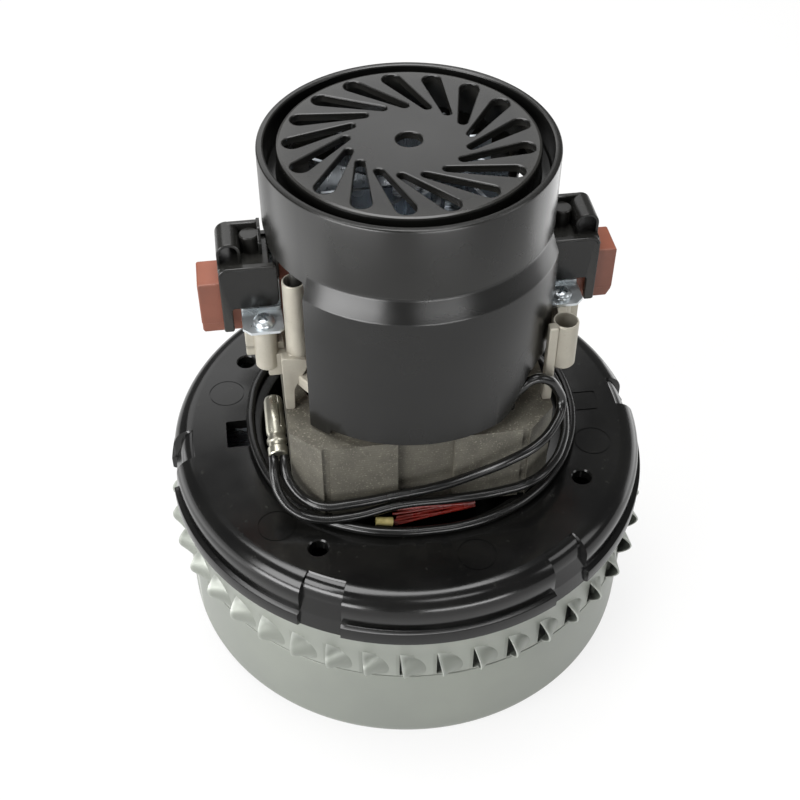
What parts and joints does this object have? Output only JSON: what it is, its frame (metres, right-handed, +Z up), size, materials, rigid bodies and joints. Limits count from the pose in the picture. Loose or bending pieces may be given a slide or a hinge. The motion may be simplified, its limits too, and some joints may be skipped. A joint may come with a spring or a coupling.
{
  "type": "vacuum motor unit",
  "caption": "Upright two-stage vacuum motor: louvred round fan case, black bolted flange, wound field core, spring-loaded brushes and a slotted vent cap.",
  "frame": {"origin": "shaft axis at the underside of the fan case", "axes": "+Z up the shaft to the vent cap, X along the brushes, -Y to the front with the terminal on the left"},
  "size_m": [0.1504, 0.1506, 0.168],
  "materials": {
    "case_steel": "satin light grey paint on pressed sheet steel",
    "plain_steel": "plain pressed steel",
    "flange_plastic": "glossy black moulding",
    "core_steel": "dull speckled laminations",
    "copper_enamel": "red enamelled copper wire",
    "copper_bar": "bare copper bars",
    "bracket_alloy": "bead blasted die cast alloy",
    "zinc_plate": "bright bluish zinc plate",
    "cap_plastic": "satin charcoal moulding",
    "cover_plastic": "satin black moulding",
    "holder_plastic": "reddish brown moulding",
    "brass_sheet": "plain brass sheet",
    "spring_steel": "bright spring wire",
    "carbon": "pressed carbon",
    "tinned_terminal": "tinned sheet",
    "lead_rubber": "black silicone insulation",
    "bearing_steel": "ground bearing steel",
    "fan_alloy": "plain sheet alloy"
  },
  "bodies": {
    "frame": {"fan_housing": "case_steel", "stage_divider": "plain_steel", "fan_end_bracket": "flange_plastic", "field_core": "core_steel", "field_coil_front": "copper_enamel", "field_coil_back": "copper_enamel", "commutator_bracket": "bracket_alloy", "frame_bolts": "zinc_plate", "vent_cap": "cap_plastic", "lower_bearing_outer_race": "bearing_steel", "upper_bearing_outer_race": "bearing_steel", "brush_holder_left": "holder_plastic", "brush_holder_right": "holder_plastic", "brush_tube_left": "brass_sheet", "brush_tube_right": "brass_sheet", "brush_spring_left": "spring_steel", "brush_spring_right": "spring_steel", "brush_cover_left": "cover_plastic", "brush_cover_right": "cover_plastic", "brush_clamp_left": "zinc_plate", "brush_clamp_right": "zinc_plate", "clamp_screws": "zinc_plate", "crimp_terminal": "tinned_terminal", "jumper_lead": "lead_rubber", "supply_lead": "lead_rubber"},
    "rotor": {"shaft": "bearing_steel", "lower_bearing_inner_race": "bearing_steel", "upper_bearing_inner_race": "bearing_steel", "armature_core": "core_steel", "armature_winding": "copper_enamel", "commutator": "copper_bar", "commutator_riser": "copper_bar", "cooling_fan": "fan_alloy", "first_fan_shroud": "fan_alloy", "first_fan_blades": "fan_alloy", "first_fan_back_plate": "fan_alloy", "second_fan_shroud": "fan_alloy", "second_fan_blades": "fan_alloy", "second_fan_back_plate": "fan_alloy", "fan_spacer": "plain_steel", "bearing_spacer": "plain_steel", "fan_washers": "plain_steel", "fan_nut": "plain_steel"},
    "lower_ball_train": {"lower_bearing_balls": "bearing_steel", "lower_bearing_cage": "brass_sheet"},
    "upper_ball_train": {"upper_bearing_balls": "bearing_steel", "upper_bearing_cage": "brass_sheet"},
    "brush_left": {"carbon_brush_left": "carbon"},
    "brush_right": {"carbon_brush_right": "carbon"}
  },
  "joints": [
    {"name": "rotor_spin", "type": "hinge", "parent": "frame", "child": "rotor", "pos_m": [0, 0, 0.1], "axis": [0, 0, 1], "continuous": true},
    {"name": "lower_ball_roll", "type": "hinge", "parent": "frame", "child": "lower_ball_train", "pos_m": [0, 0, 0.06], "axis": [0, 0, 1], "continuous": true},
    {"name": "upper_ball_roll", "type": "hinge", "parent": "frame", "child": "upper_ball_train", "pos_m": [0, 0, 0.141], "axis": [0, 0, 1], "continuous": true},
    {"name": "brush_left_slide", "type": "slide", "parent": "frame", "child": "brush_left", "axis": [-1, 0, 0], "range_m": [0, 0.006], "stiffness_N_per_m": 200, "springref_m": -0.012, "deforming": ["brush_spring_left"]},
    {"name": "brush_right_slide", "type": "slide", "parent": "frame", "child": "brush_right", "axis": [1, 0, 0], "range_m": [0, 0.006], "stiffness_N_per_m": 200, "springref_m": -0.012, "deforming": ["brush_spring_right"]}
  ],
  "couplings": [
    {"joint": "lower_ball_roll", "follows": "rotor_spin", "ratio": 0.3667},
    {"joint": "upper_ball_roll", "follows": "rotor_spin", "ratio": 0.3667}
  ]
}
